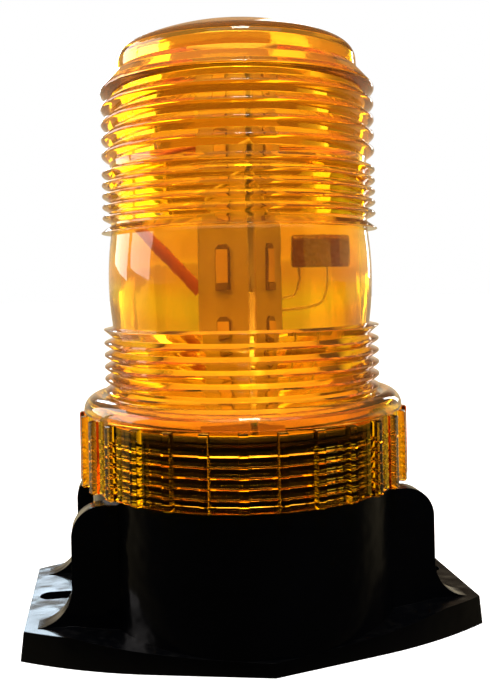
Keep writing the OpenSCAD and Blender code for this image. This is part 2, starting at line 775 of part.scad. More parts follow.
module film_capacitor_legs() {
    color([0.6, 0.6, 0.6]) for (route = film_leg_routes) wire(route, film_leg_r, 3);
}

module jumper_lead() {
    color([0.7, 0.05, 0.04]) wire(jumper_route, jumper_r);
}

module red_lead() {
    color([0.7, 0.05, 0.04]) wire(supply_route, supply_r);
}

// The black lead mirrors the red one, a little further forward
module black_lead() {
    color([0.06, 0.06, 0.06]) wire([for (p = supply_route) [-p.x, p.y - 1, p.z]], supply_r);
}

base_housing();
bottom_cover();
cover_gasket();
cover_screws();
vent_plug();
cable_grommet();
cable_clamp();
clamp_screws();
lens();
lens_seal();
reflector_disc();
disc_screws();
tower_foot();
led_board(0);  // led_board_1
led_board(1);  // led_board_2
led_board(2);  // led_board_3
led_board(3);  // led_board_4
emitter_frames(0);  // emitter_frames_1
emitter_frames(1);  // emitter_frames_2
emitter_frames(2);  // emitter_frames_3
emitter_frames(3);  // emitter_frames_4
emitters(0);  // emitters_1
emitters(1);  // emitters_2
emitters(2);  // emitters_3
emitters(3);  // emitters_4
tower_ties();
tower_cap();
driver_board();
driver_screws();
terminal_block();
terminal_screws();
storage_capacitor();
choke_coil();
choke_core();
switch_transistor();
control_chip();
chip_resistors();
film_capacitor();
film_capacitor_legs();
jumper_lead();
red_lead();
black_lead();
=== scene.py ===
import json
import math

import bmesh
import bpy
from mathutils import Matrix, Vector


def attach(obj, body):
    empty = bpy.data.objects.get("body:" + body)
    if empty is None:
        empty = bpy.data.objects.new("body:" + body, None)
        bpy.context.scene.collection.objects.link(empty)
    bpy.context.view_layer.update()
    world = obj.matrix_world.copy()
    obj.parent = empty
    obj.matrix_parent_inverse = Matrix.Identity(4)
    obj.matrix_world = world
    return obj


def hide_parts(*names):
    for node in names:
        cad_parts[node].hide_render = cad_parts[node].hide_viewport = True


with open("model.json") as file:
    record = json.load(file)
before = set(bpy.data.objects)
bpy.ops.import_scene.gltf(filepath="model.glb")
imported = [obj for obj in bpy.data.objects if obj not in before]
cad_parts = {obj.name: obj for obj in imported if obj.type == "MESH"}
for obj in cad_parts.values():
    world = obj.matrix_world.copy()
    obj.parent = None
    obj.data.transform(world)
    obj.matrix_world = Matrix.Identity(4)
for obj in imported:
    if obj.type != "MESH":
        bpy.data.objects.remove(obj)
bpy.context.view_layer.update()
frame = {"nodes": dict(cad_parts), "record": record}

MM = 0.001
scene = bpy.context.scene
scene.view_settings.view_transform = "Standard"

# ---------------------------------------------------------------- camera

CAMERA_DISTANCE = 257 * MM
CAMERA_HEIGHT = 98.4 * MM
CAMERA_TURN = math.radians(8.5)
CAMERA_ROLL = math.radians(1.16)
CAMERA_LENS, SENSOR_WIDTH = 44.2, 36
CAMERA_SHIFT = (0.0067, -0.1014)


def add_camera():
    """Camera level with the clear band of the lens, a little to the left of the base's front."""
    data = bpy.data.cameras.new("camera")
    data.lens = CAMERA_LENS
    data.sensor_width = SENSOR_WIDTH
    data.shift_x, data.shift_y = CAMERA_SHIFT
    data.clip_start = 10 * MM
    camera = bpy.data.objects.new("camera", data)
    scene.collection.objects.link(camera)
    ahead = Vector((math.sin(CAMERA_TURN), math.cos(CAMERA_TURN), 0))
    level = Vector((ahead.y, -ahead.x, 0))
    right = level * math.cos(CAMERA_ROLL) - Vector((0, 0, 1)) * math.sin(CAMERA_ROLL)
    up = right.cross(ahead)
    turn = Matrix((right, up, -ahead)).transposed()
    camera.matrix_world = Matrix.Translation(
        Vector((0, 0, CAMERA_HEIGHT)) - ahead * CAMERA_DISTANCE) @ turn.to_4x4()
    scene.camera = camera


add_camera()

# ---------------------------------------------------------------- materials


def new_material(name, colour, roughness, metallic=0.0, **sockets):
    """A Principled material with its plain values set on its own sockets."""
    material = bpy.data.materials.new(name)
    material.use_nodes = True
    bsdf = material.node_tree.nodes["Principled BSDF"]
    bsdf.inputs["Base Color"].default_value = (*colour, 1)
    bsdf.inputs["Roughness"].default_value = roughness
    bsdf.inputs["Metallic"].default_value = metallic
    for socket, value in sockets.items():
        bsdf.inputs[socket.replace("_", " ").title().replace("Ior", "IOR")].default_value = value
    return material, material.node_tree, bsdf


def noise(tree, scale, detail, stretch=(1, 1, 1)):
    """Noise in the frame's coordinates; scale is in waves per metre."""
    coords = tree.nodes.new("ShaderNodeTexCoord")
    mapping = tree.nodes.new("ShaderNodeMapping")
    mapping.inputs["Scale"].default_value = stretch
    texture = tree.nodes.new("ShaderNodeTexNoise")
    texture.inputs["Scale"].default_value = scale
    texture.inputs["Detail"].default_value = detail
    tree.links.new(coords.outputs["Object"], mapping.inputs["Vector"])
    tree.links.new(mapping.outputs["Vector"], texture.inputs["Vector"])
    return texture.outputs["Fac"]


def span(tree, value, low, high, start=0.35, end=0.65):
    """Maps a value that goes from start to end onto low to high, and holds it at those two. The
    usual start and end are where nearly all of a noise's values lie."""
    node = tree.nodes.new("ShaderNodeMapRange")
    for socket, number in zip(("From Min", "From Max", "To Min", "To Max"), (start, end, low, high)):
        node.inputs[socket].default_value = number
    tree.links.new(value, node.inputs["Value"])
    return node.outputs["Result"]


def blend_colours(tree, value, first, second, start=0.35, end=0.65):
    """A colour between two, as value goes from start to end."""
    node = tree.nodes.new("ShaderNodeMix")
    node.data_type = "RGBA"
    # Sockets 6 and 7 are the node's two colours, and output 2 is the blend.
    for socket, colour in ((6, first), (7, second)):
        if isinstance(colour, tuple):
            node.inputs[socket].default_value = (*colour, 1)
        else:
            tree.links.new(colour, node.inputs[socket])
    tree.links.new(span(tree, value, 0, 1, start, end), node.inputs[0])
    return node.outputs[2]


def arithmetic(tree, operation, first, second):
    """The result of a Math node with two linked values."""
    node = tree.nodes.new("ShaderNodeMath")
    node.operation = operation
    tree.links.new(first, node.inputs[0])
    tree.links.new(second, node.inputs[1])
    return node.outputs[0]


def multiply(tree, first, second):
    """The product of two values."""
    return arithmetic(tree, "MULTIPLY", first, second)


def total(tree, first, second):
    """The sum of two values."""
    return arithmetic(tree, "ADD", first, second)


def split_xyz(tree, vector):
    """The parts of a vector, as sockets named X, Y and Z."""
    node = tree.nodes.new("ShaderNodeSeparateXYZ")
    tree.links.new(vector, node.inputs["Vector"])
    return node.outputs


def coordinates(tree, kind="Object"):
    """X, Y and Z of the shaded point, or with Generated in the world, of the ray's direction."""
    return split_xyz(tree, tree.nodes.new("ShaderNodeTexCoord").outputs[kind])


def glow(tree, node_type, colour, strength):
    """An Emission or Background shader; colour and strength are plain values or sockets."""
    node = tree.nodes.new(node_type)
    if isinstance(colour, tuple):
        node.inputs["Color"].default_value = (*colour, 1)
    else:
        tree.links.new(colour, node.inputs["Color"])
    if isinstance(strength, float):
        node.inputs["Strength"].default_value = strength
    else:
        tree.links.new(strength, node.inputs["Strength"])
    return node.outputs[0]


def ray_switch(tree, shaders):
    """Picks a shader by the kind of ray: (Light Path output, shader) pairs, then the shader for
    all other rays."""
    path = tree.nodes.new("ShaderNodeLightPath")
    result = shaders[-1]
    for kind, shader in reversed(shaders[:-1]):
        mix = tree.nodes.new("ShaderNodeMixShader")
        tree.links.new(path.outputs[kind], mix.inputs[0])
        tree.links.new(result, mix.inputs[1])
        tree.links.new(shader, mix.inputs[2])
        result = mix.outputs[0]
    return result


def add_bump(tree, bsdf, heights):
    """Bump from several heights: (value, strength, distance in metres), the coarsest first."""
    normal = None
    for value, strength, distance in heights:
        node = tree.nodes.new("ShaderNodeBump")
        node.inputs["Strength"].default_value = strength
        node.inputs["Distance"].default_value = distance
        tree.links.new(value, node.inputs["Height"])
        if normal is not None:
            tree.links.new(normal, node.inputs["Normal"])
        normal = node.outputs["Normal"]
    tree.links.new(normal, bsdf.inputs["Normal"])


def textured(name, dark, light, rough, grain=900, metallic=0.0, bump=0.15, depth=0.05,
             patch=60, **sockets):
    """Solid material with patchy colour, uneven gloss and a fine grain."""
    material, tree, bsdf = new_material(name, dark, rough[0], metallic, **sockets)
    patches = noise(tree, patch, 4)
    fine = noise(tree, grain, 3)
    tree.links.new(blend_colours(tree, patches, dark, light), bsdf.inputs["Base Color"])
    tree.links.new(span(tree, fine, rough[0], rough[1]), bsdf.inputs["Roughness"])
    add_bump(tree, bsdf, [(patches, bump * 0.5, depth * 4 * MM), (fine, bump, depth * MM)])
    return material


AMBER_TINT, AMBER_DEPTH_TINT, AMBER_DENSITY = (1.0, 0.685, 0.32), (0.988, 0.93, 0.25), 600
AMBER_SHADE = (0.94, 0.9, 0.8)
CLEAR_BELOW, MILKY_ABOVE, MILKY_TRANSMISSION = 60 * MM, 64 * MM, 0.96


def amber_plastic():
    """Clear amber plastic that tints with its depth, so thin edges stay pale. The skirt is clear,
    what is above it faintly milky, and shadow rays pass, so that lamps light what is inside."""
    material, tree, bsdf = new_material(
        "amber_lens", AMBER_TINT, 0.015, transmission_weight=1.0, ior=1.5)
    ripple = noise(tree, 140, 2, (1, 1, 0.5))
    orange_peel = noise(tree, 900, 2)
    tree.links.new(span(tree, noise(tree, 60, 3), 0.02, 0.06), bsdf.inputs["Roughness"])
    add_bump(tree, bsdf, [(ripple, 0.16, 0.4 * MM), (orange_peel, 0.1, 0.03 * MM)])
    height = coordinates(tree)["Z"]
    tree.links.new(span(tree, height, 1.0, MILKY_TRANSMISSION, CLEAR_BELOW, MILKY_ABOVE),
                   bsdf.inputs["Transmission Weight"])
    absorb = tree.nodes.new("ShaderNodeVolumeAbsorption")
    absorb.inputs["Color"].default_value = (*AMBER_DEPTH_TINT, 1)
    absorb.inputs["Density"].default_value = AMBER_DENSITY
    open_shader = tree.nodes.new("ShaderNodeBsdfTransparent")
    open_shader.inputs["Color"].default_value = (*AMBER_SHADE, 1)
    output = tree.nodes["Material Output"]
    tree.links.new(absorb.outputs["Volume"], output.inputs["Volume"])
    tree.links.new(ray_switch(tree, [("Is Shadow Ray", open_shader.outputs["BSDF"]),
                                     bsdf.outputs["BSDF"]]), output.inputs["Surface"])
    return material


def housing_plastic():
    """Glossy black moulded plastic: sink and flow marks, and a little dust on what faces up."""
    material, tree, bsdf = new_material("housing_black", (0.003, 0.003, 0.004), 0.2, ior=1.45,
                                        specular_ior_level=0.36)
    flow = noise(tree, 35, 4, (1, 1, 0.4))
    fine = noise(tree, 1400, 3)
    specks = noise(tree, 420, 6)
    sink = noise(tree, 80, 2)
    normal = split_xyz(tree, tree.nodes.new("ShaderNodeNewGeometry").outputs["Normal"])
    upward = span(tree, normal["Z"], 0.0, 0.6, 0.3, 1.0)
    dust = multiply(tree, upward, span(tree, specks, 0.0, 1.0, 0.5, 0.75))
    base = blend_colours(tree, flow, (0.001, 0.0012, 0.0017), (0.0016, 0.0019, 0.0028))
    tree.links.new(blend_colours(tree, dust, base, (0.009, 0.009, 0.0088), 0.0, 1.0),
                   bsdf.inputs["Base Color"])
    tree.links.new(span(tree, flow, 0.13, 0.26), bsdf.inputs["Roughness"])
    add_bump(tree, bsdf, [(sink, 0.5, 1.6 * MM), (flow, 0.1, 0.3 * MM), (fine, 0.06, 0.02 * MM)])
    return material


def laminate(name, dark, light, trace, rough=(0.3, 0.45)):
    """Circuit board: glossy lacquer over a grid of slightly raised copper tracks."""
    material, tree, bsdf = new_material(name, dark, rough[0])
    coords = tree.nodes.new("ShaderNodeTexCoord")
    tracks = tree.nodes.new("ShaderNodeTexBrick")
    tracks.inputs["Scale"].default_value = 1
    tracks.inputs["Brick Width"].default_value = 7.3 * MM
    tracks.inputs["Row Height"].default_value = 2.2 * MM
    tracks.inputs["Mortar Size"].default_value = 0.25 * MM
    tracks.inputs["Color1"].default_value = (0, 0, 0, 1)
    tracks.inputs["Color2"].default_value = (0, 0, 0, 1)
    tracks.inputs["Mortar"].default_value = (1, 1, 1, 1)
    tree.links.new(coords.outputs["Object"], tracks.inputs["Vector"])
    base = blend_colours(tree, noise(tree, 120, 4), dark, light)
    tree.links.new(blend_colours(tree, tracks.outputs["Fac"], base, trace, 0.2, 0.9),
                   bsdf.inputs["Base Color"])
    weave = noise(tree, 1600, 2)
    tree.links.new(span(tree, weave, *rough), bsdf.inputs["Roughness"])
    add_bump(tree, bsdf, [(tracks.outputs["Fac"], 0.3, 0.04 * MM), (weave, 0.1, 0.02 * MM)])
    return material


MATERIALS = {
    "housing_black": housing_plastic(),
    "cover_black": textured("cover_black", (0.012, 0.012, 0.013), (0.02, 0.02, 0.021),
                            (0.4, 0.6), grain=1800, bump=0.4),
    "rubber_black": textured("rubber_black", (0.014, 0.014, 0.014), (0.03, 0.029, 0.028),
                             (0.6, 0.8), grain=1500, bump=0.35),
    "screw_steel": textured("screw_steel", (0.55, 0.55, 0.56), (0.68, 0.67, 0.64), (0.22, 0.38),
                            grain=2500, metallic=1.0, bump=0.1, depth=0.02),
    "grey_plastic": textured("grey_plastic", (0.09, 0.09, 0.1), (0.14, 0.14, 0.145), (0.4, 0.6)),
    "amber_lens": amber_plastic(),
    "white_plastic": textured("white_plastic", (0.8, 0.79, 0.76), (0.86, 0.855, 0.83), (0.25, 0.4),
                              grain=1200, bump=0.12),
    "green_laminate": laminate("green_laminate", (0.012, 0.085, 0.03), (0.02, 0.12, 0.045),
                               (0.03, 0.19, 0.07)),
    "white_laminate": laminate("white_laminate", (0.32, 0.27, 0.2), (0.4, 0.34, 0.25),
                               (0.5, 0.43, 0.33), (0.35, 0.5)),
    "tan_laminate": textured("tan_laminate", (0.38, 0.31, 0.25), (0.52, 0.44, 0.37), (0.3, 0.42),
                             grain=1500, bump=0.2, patch=45),
    "emitter_frame": textured("emitter_frame", (0.12, 0.07, 0.035), (0.19, 0.11, 0.055),
                              (0.35, 0.5)),
    "emitter_phosphor": textured("emitter_phosphor", (0.6, 0.42, 0.24), (0.7, 0.52, 0.3),
                                 (0.15, 0.25), grain=2600, bump=0.3),
    "green_plastic": textured("green_plastic", (0.01, 0.13, 0.04), (0.02, 0.19, 0.06), (0.3, 0.45)),
    "capacitor_sleeve": textured("capacitor_sleeve", (0.012, 0.016, 0.06), (0.018, 0.024, 0.085),
                                 (0.2, 0.32), coat_weight=0.4),
    "copper_wire": textured("copper_wire", (0.5, 0.16, 0.045), (0.68, 0.25, 0.08), (0.18, 0.3),
                            metallic=0.85, grain=700, coat_weight=0.5),
    "ferrite": textured("ferrite", (0.02, 0.02, 0.022), (0.05, 0.048, 0.045), (0.6, 0.8), bump=0.6),
    "black_epoxy": textured("black_epoxy", (0.01, 0.01, 0.011), (0.018, 0.018, 0.019),
                            (0.35, 0.55), grain=2200, bump=0.3),
    "brown_epoxy": textured("brown_epoxy", (0.13, 0.05, 0.02), (0.2, 0.08, 0.035), (0.2, 0.35)),
    "tinned_wire": textured("tinned_wire", (0.66, 0.62, 0.54), (0.78, 0.74, 0.66), (0.45, 0.6),
                            metallic=0.5, grain=1800),
    "red_pvc": textured("red_pvc", (0.42, 0.09, 0.06), (0.52, 0.13, 0.09), (0.3, 0.42)),
    "black_pvc": textured("black_pvc", (0.012, 0.012, 0.012), (0.02, 0.02, 0.02), (0.3, 0.42)),
}

# ---------------------------------------------------------------- mesh tools


def shade(piece, angle):
    """Smooth shading, with the edges sharper than angle left crisp."""
    mesh = bmesh.new()
    mesh.from_mesh(piece.data)
    for face in mesh.faces:
        face.smooth = True
    for edge in mesh.edges:
        edge.smooth = len(edge.link_faces) == 2 and edge.calc_face_angle(0) < math.radians(angle)
    mesh.to_mesh(piece.data)
    mesh.free()


def dress(piece, slot, body, node, angle):
    """Gives a new piece its material and its body, hides the CAD node that it stands for, and gives
    it shading that keeps the edges sharper than angle crisp."""
    piece.data.materials.clear()
    piece.data.materials.append(MATERIALS[slot])
    shade(piece, angle)
    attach(piece, body)
    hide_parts(node)
    return piece


def add_piece(name, mesh):
    """A new object from a bmesh drawn in millimetres."""
    bmesh.ops.scale(mesh, vec=(MM, MM, MM), verts=mesh.verts)
    bmesh.ops.recalc_face_normals(mesh, faces=mesh.faces)
    data = bpy.data.meshes.new(name)
    mesh.to_mesh(data)
    mesh.free()
    piece = bpy.data.objects.new(name, data)
    scene.collection.objects.link(piece)
    return piece


def arc(x, y, radius, start, end, steps):
    """Points of an arc, with its angles in degrees."""
    turns = [math.radians(start + (end - start) * i / steps) for i in range(steps + 1)]
    return [(x + radius * math.cos(a), y + radius * math.sin(a)) for a in turns]


def rounded(points, steps=3, closed=True):
    """An outline whose corners (x, y, radius) are rounded; a corner of two numbers stays sharp."""
    made = []
    for i, point in enumerate(points):
        here = Vector(point[:2])
        radius = point[2] if len(point) > 2 else 0
        if radius == 0 or (not closed and i in (0, len(points) - 1)):
            made.append(tuple(here))
            continue
        to_last = Vector(points[i - 1][:2]) - here
        to_next = Vector(points[(i + 1) % len(points)][:2]) - here
        half = to_last.angle(to_next) / 2
        reach = min(radius / max(math.tan(half), 0.05), 0.48 * to_last.length, 0.48 * to_next.length)
        first, last = here + to_last.normalized() * reach, here + to_next.normalized() * reach
        for k in range(steps + 1):
            t = k / steps
            made.append(tuple(first * (1 - t) ** 2 + here * 2 * t * (1 - t) + last * t * t))
    return made


def lathe(mesh, profile, angles, centre=(0, 0), reach=None, sink=None):
    """Revolves a closed profile of (radius, height). reach(index, angle) adds to a point's radius,
    and sink(x, y) to the height of the points that have a third value."""
    rows = []
    for j, (radius, height, *cut) in enumerate(profile):
        if radius < 1e-6:
            vert = mesh.verts.new((*centre, height + (sink(0, 0) if cut else 0)))
            rows.append([vert] * len(angles))
            continue
        row = []
        for a in angles:
            r = radius + (reach(j, a) if reach else 0)
            x, y = r * math.cos(a), r * math.sin(a)
            z = height + (sink(x, y) if cut else 0)
            row.append(mesh.verts.new((centre[0] + x, centre[1] + y, z)))
        rows.append(row)
    for j, row in enumerate(rows):
        above = rows[(j + 1) % len(rows)]
        for i in range(len(angles)):
            k = (i + 1) % len(angles)
            corners = list(dict.fromkeys((row[i], row[k], above[k], above[i])))
            if len(corners) > 2:
                mesh.faces.new(corners)


def even_angles(count):
    """Angles of count points spread evenly round a circle."""
    return [2 * math.pi * i / count for i in range(count)]


TUBE_SIDES, TUBE_STEPS, TUBE_END = 16, 8, 0.72


def tube(mesh, points, radius):
    """A closed tube, a little narrower at its ends, along a smooth curve through points."""
    path = smooth_path([Vector(p) for p in points], TUBE_STEPS)
    across = (path[1] - path[0]).orthogonal().normalized()
    rings = []
    last = len(path) - 1
    for i, point in enumerate(path):
        ahead = (path[min(i + 1, last)] - path[max(i - 1, 0)]).normalized()
        across = (across - ahead * across.dot(ahead)).normalized()
        side = ahead.cross(across)
        size = radius * (TUBE_END if i in (0, last) else 1)
        rings.append([mesh.verts.new(point + size * (math.cos(a) * across + math.sin(a) * side))
                      for a in even_angles(TUBE_SIDES)])
    for low, high in zip(rings, rings[1:]):
        for k in range(TUBE_SIDES):
            m = (k + 1) % TUBE_SIDES
            mesh.faces.new((low[k], low[m], high[m], high[k]))
    mesh.faces.new(rings[0][::-1])
    mesh.faces.new(rings[-1])


def smooth_path(points, steps):
    """Catmull-Rom curve through points."""
    made = []
    for i in range(len(points) - 1):
        a, b, c = points[max(i - 1, 0)], points[i], points[i + 1]
        d = points[min(i + 2, len(points) - 1)]
        for k in range(steps):
            t = k / steps
            made.append(0.5 * (2 * b + (c - a) * t + (2 * a - 5 * b + 4 * c - d) * t * t
                               + (3 * b - a - 3 * c + d) * t ** 3))
    return made + [points[-1]]


SHARP_ANGLE, FLAT_ANGLE, JOIN_GAP = 28, 0.6, 0.002


def solid_from(node):
    """The CAD node's mesh in millimetres, joined up, with its flat faces whole."""
    mesh = bmesh.new()
    mesh.from_mesh(frame["nodes"][node].data)
    bmesh.ops.scale(mesh, vec=(1 / MM,) * 3, verts=mesh.verts)
    bmesh.ops.remove_doubles(mesh, verts=mesh.verts, dist=JOIN_GAP)
    bmesh.ops.dissolve_limit(mesh, angle_limit=math.radians(FLAT_ANGLE), verts=mesh.verts,
                             edges=mesh.edges)
    return mesh


def soften(mesh, width, segments, wanted):
    """Rounds the sharp edges of a mesh. wanted(middle of an edge) picks which."""
    sharp = [e for e in mesh.edges if len(e.link_faces) == 2
             and e.calc_face_angle(0) > math.radians(SHARP_ANGLE)
             and (wanted is None or wanted((e.verts[0].co + e.verts[1].co) / 2))]
    bmesh.ops.bevel(mesh, geom=sharp, offset=width, segments=segments, profile=0.5,
                    affect="EDGES", clamp_overlap=True, harden_normals=False)


def softened(name, node, slot, width, segments=2, wanted=None):
    """A piece that stands for a CAD node, with its edges rounded as moulded or cut ones are."""
    mesh = solid_from(node)
    soften(mesh, width, segments, wanted)
    piece = dress(add_piece(name, mesh), slot, NODE_BODY[node], node, 50)
    even = piece.modifiers.new("even", "WEIGHTED_NORMAL")
    even.keep_sharp = True


NODE_BODY = {node: body for body, nodes in frame["record"]["behaviour"]["bodies"].items()
             for node in nodes}

# ---------------------------------------------------------------- lens

SKIRT_Z, SKIRT_TOP, SKIRT_R, SKIRT_ROOT_R = 40.4, 60.6, 46.0, 44.5
GRIP_R, GRIP_COUNT, GRIP_TURN, GRIP_W = 48.1, 30, math.radians(-2.6), 2.6
GRIP_FLAT, GRIP_DROP = 0.8, 0.22
THREAD_Z, THREAD_PITCH, THREAD_TURNS, THREAD_CREST_R = 42.8, 2.7, 6, 43.75
GROOVE_R, CREST_R, BOLD_CREST_R, BORE_R = 37.9, 40.7, 40.2, 35.6
BAND_LOW, BAND_HIGH, BAND_R = 85.2, 112.3, 38.9
SHOULDER_R, SHOULDER_Z, SHOULDER_ROUND = 46.7, 61.4, 4.4
CAP_R, CAP_Z, LENS_TOP, DOME_R, DOME_ROUND, WALL = 35.4, 157.4, 173.4, 76.0, 4.5, 2.2
CAP_IN_Z, BORE_STOPS = 162.7, (130, 100)
SEAT_IN_R, SEAT_Z, SEAT_TOP, SEAT_W, SKIRT_IN_TOP = 40.0, 59.0, SHOULDER_Z + 2, 1.6, 58.2
FLANK_HALF, THREAD_HALF, THREAD_ROUND = 0.7, 0.3, 0.1
GROOVE_ROUND, LIP_ROUND = 0.25, 0.1

# Ring groups: height of the first crest, pitch, count, crest radius, reach of the flanks below
# and above the crest, and rounding of the tip.
LOW_RINGS = (66.9, 3.45, 5, CREST_R + 0.72, 2.15, 1.2, 1.2)
FINE_RINGS = (116.8, 3.18, 5, CREST_R + 0.45, 1.5, 1.5, 0.8)
BOLD_RINGS = (135.0, 4.55, 5, BOLD_CREST_R + 0.75, 2.2, 2.2, 1.1)


def ring_corners(first, pitch, count, crest, below, above, tip):
    """A group of rings: for each, the foot of its flank, its crest and the foot above."""
    made = []
    for i in range(count):
        z = first + i * pitch
        made += [(GROOVE_R, z - below, GROOVE_ROUND), (crest, z, tip),
                 (GROOVE_R, z + above, GROOVE_ROUND)]
    return made


def skirt_outside():
    """Outside of the grip skirt, and by point, how much of its height a grip rib has there."""
    points = [(SKIRT_ROOT_R, SKIRT_Z), (SKIRT_R - 0.3, SKIRT_Z), (SKIRT_R, SKIRT_Z + 0.2),
              (SKIRT_R, SKIRT_Z + 0.39)]
    rib_heights = {}
    for z, share in ((SKIRT_Z + 0.4, 0.85), (SKIRT_Z + 0.65, 1.0), (SKIRT_TOP - 0.4, 1.0),
                     (SKIRT_TOP - 0.1, 0.85), (SKIRT_TOP, 0.0)):
        rib_heights[len(points)] = share
        points.append((SKIRT_R, z))
    return points, rib_heights


def band_outside():
    """The clear band, bulged by the difference between its radius and the grooves'."""
    half = (BAND_HIGH - BAND_LOW) / 2
    rise = BAND_R - GROOVE_R
    curve_r = (half * half + rise * rise) / (2 * rise)
    sweep = math.degrees(math.asin(half / curve_r))
    return arc(BAND_R - curve_r, BAND_LOW + half, curve_r, -sweep + 1, sweep - 1, 20)


def dome_outside():
    """The rounded corner of the top and the shallow dome, up to the axis."""
    centre_z = LENS_TOP - DOME_R
    corner_x = CAP_R - DOME_ROUND
    corner_z = centre_z + math.sqrt((DOME_R - DOME_ROUND) ** 2 - corner_x ** 2)
    corner = math.degrees(math.atan2(corner_z - centre_z, corner_x))
    dome = arc(0, centre_z, DOME_R, corner + 1.5, 90, 18)
    return arc(corner_x, corner_z, DOME_ROUND, 0, corner, 8) + dome[:-1] + [(0, LENS_TOP)]


def lens_outside():
    """The lens's outer section from the skirt's foot to the top, and its grip ribs' heights."""
    points, rib_heights = skirt_outside()
    points += [(SKIRT_R, SKIRT_TOP + 0.2), (SHOULDER_R, SKIRT_TOP + 0.6)]
    points += arc(SHOULDER_R - SHOULDER_ROUND, SHOULDER_Z, SHOULDER_ROUND, 0, 90, 12)
    low = [(GROOVE_R + 3, SHOULDER_Z + SHOULDER_ROUND - 0.2, 0.4)]
    low += ring_corners(*LOW_RINGS)
    low += [(GROOVE_R, BAND_LOW - 3.2, GROOVE_ROUND), (CREST_R, BAND_LOW - 0.8, LIP_ROUND),
            (CREST_R - 0.1, BAND_LOW - 0.6, LIP_ROUND), (GROOVE_R + 0.05, BAND_LOW, 0.2)]
    points += rounded(low, closed=False)
    points += band_outside()
    high = [(GROOVE_R + 0.05, BAND_HIGH, 0.2), (CREST_R, BAND_HIGH, 0.08),
            (CREST_R, BAND_HIGH + 0.25, 0.08), (GROOVE_R, BAND_HIGH + 2.2, GROOVE_ROUND)]
    high += ring_corners(*FINE_RINGS)
    high += ring_corners(*BOLD_RINGS)[:-1]
    high += [(CAP_R + 0.2, CAP_Z + 1.8, 0.6)]
    points += rounded(high, 5, closed=False)
    return points + dome_outside(), rib_heights


def lens_inside():
    """The lens's inner section from the top down: dome, bore, seat of the seal, and thread."""
    centre_z = LENS_TOP - DOME_R
    inner_r = DOME_R - WALL
    inner_x = CAP_R - WALL - 1
    stop = math.degrees(math.acos(inner_x / inner_r))
    points = arc(0, centre_z, inner_r, 90, stop, 14)
    points[0] = (0, centre_z + inner_r)
    points += rounded([
        (inner_x, points[-1][1] - 0.1, 0), (CAP_R - WALL, CAP_IN_Z, 0.8),
        (CAP_R - WALL, CAP_Z - 0.5, 0.6), (BORE_R, CAP_Z - 3, 0.6),
        *[(BORE_R, z, 0) for z in BORE_STOPS], (BORE_R, SEAT_TOP + 1.2, 0.5),
        (BORE_R + 1.2, SEAT_TOP, 0.3), (SEAT_IN_R, SEAT_TOP, 0.2), (SEAT_IN_R, SEAT_Z, 0.15),
        (SEAT_IN_R + SEAT_W, SEAT_Z, 0.15), (SEAT_IN_R + SEAT_W, SEAT_TOP, 0.2),
        (SKIRT_ROOT_R, SEAT_TOP, 1.4), (SKIRT_ROOT_R, SKIRT_IN_TOP, 0)], closed=False)
    thread = []
    for i in reversed(range(THREAD_TURNS)):
        z = THREAD_Z + (i - 0.5) * THREAD_PITCH
        thread += [(SKIRT_ROOT_R, z + FLANK_HALF, THREAD_ROUND),
                   (THREAD_CREST_R, z + THREAD_HALF, THREAD_ROUND),
                   (THREAD_CREST_R, z - THREAD_HALF, THREAD_ROUND),
                   (SKIRT_ROOT_R, z - FLANK_HALF, THREAD_ROUND)]
    return points + rounded(thread, 2, closed=False)[:-1]


def lens_angles():
    """Sixteen steps for each grip rib, closest together over the rib's own edges."""
    period = 2 * math.pi / GRIP_COUNT
    edge = GRIP_W / 2 / GRIP_R
    steps = [-1.02, -0.99, -0.86, -0.55, 0.0, 0.55, 0.86, 0.99, 1.02]
    rest = [edge * 1.02 + (period - 2.04 * edge) * k / 8 for k in range(1, 8)]
    offsets = [edge * s for s in steps] + rest
    return [GRIP_TURN + i * period + offset for i in range(GRIP_COUNT) for offset in offsets]


def grip_height(angle):
    """How far a grip rib stands out at this angle, from 0 to 1: flat, and rounded off over the
    outer fifth of its half width."""
    period = 2 * math.pi / GRIP_COUNT
    away = abs((angle - GRIP_TURN + period / 2) % period - period / 2) / (GRIP_W / 2 / GRIP_R)
    if away > 1.01:
        return 0.0
    return 1 - GRIP_DROP * max(0.0, (away - GRIP_FLAT) / (1 - GRIP_FLAT)) ** 2


def add_lens():
    """The whole lens: its section revolved, with the grip ribs raised from the skirt."""
    outside_points, rib_heights = lens_outside()
    mesh = bmesh.new()
    lathe(mesh, outside_points + lens_inside(), lens_angles(),
          reach=lambda j, a: rib_heights.get(j, 0) * (GRIP_R - SKIRT_R) * grip_height(a))
    dress(add_piece("lens_shell", mesh), "amber_lens", "lens_cover", "lens", 32)


add_lens()

# ---------------------------------------------------------------- housing and cover

DRUM_TOP, DRUM_R, DRUM_IN_R = 40, 44.9, 43.5


def in_view(point):
    """Edges of the housing that show: its foot, its outside, and the rim under the lens."""
    x, y, z = point
    far = math.hypot(x, y)
    on_foot = z <= 0.1
    on_outside = far >= DRUM_R and z < DRUM_TOP + 0.3
    on_rim = far > DRUM_IN_R and abs(z - DRUM_TOP) <= 0.2
    return on_foot or on_outside or on_rim


softened("housing_shell", "base_housing", "housing_black", 0.55, 3, in_view)
softened("cover_plate", "bottom_cover", "cover_black", 0.25)
softened("cover_seal", "cover_gasket", "rubber_black", 0.15)
softened("vent", "vent_plug", "grey_plastic", 0.2)
softened("cable_seal", "cable_grommet", "rubber_black", 0.25)
softened("cable_bar", "cable_clamp", "cover_black", 0.4, 3)

# ---------------------------------------------------------------- screws

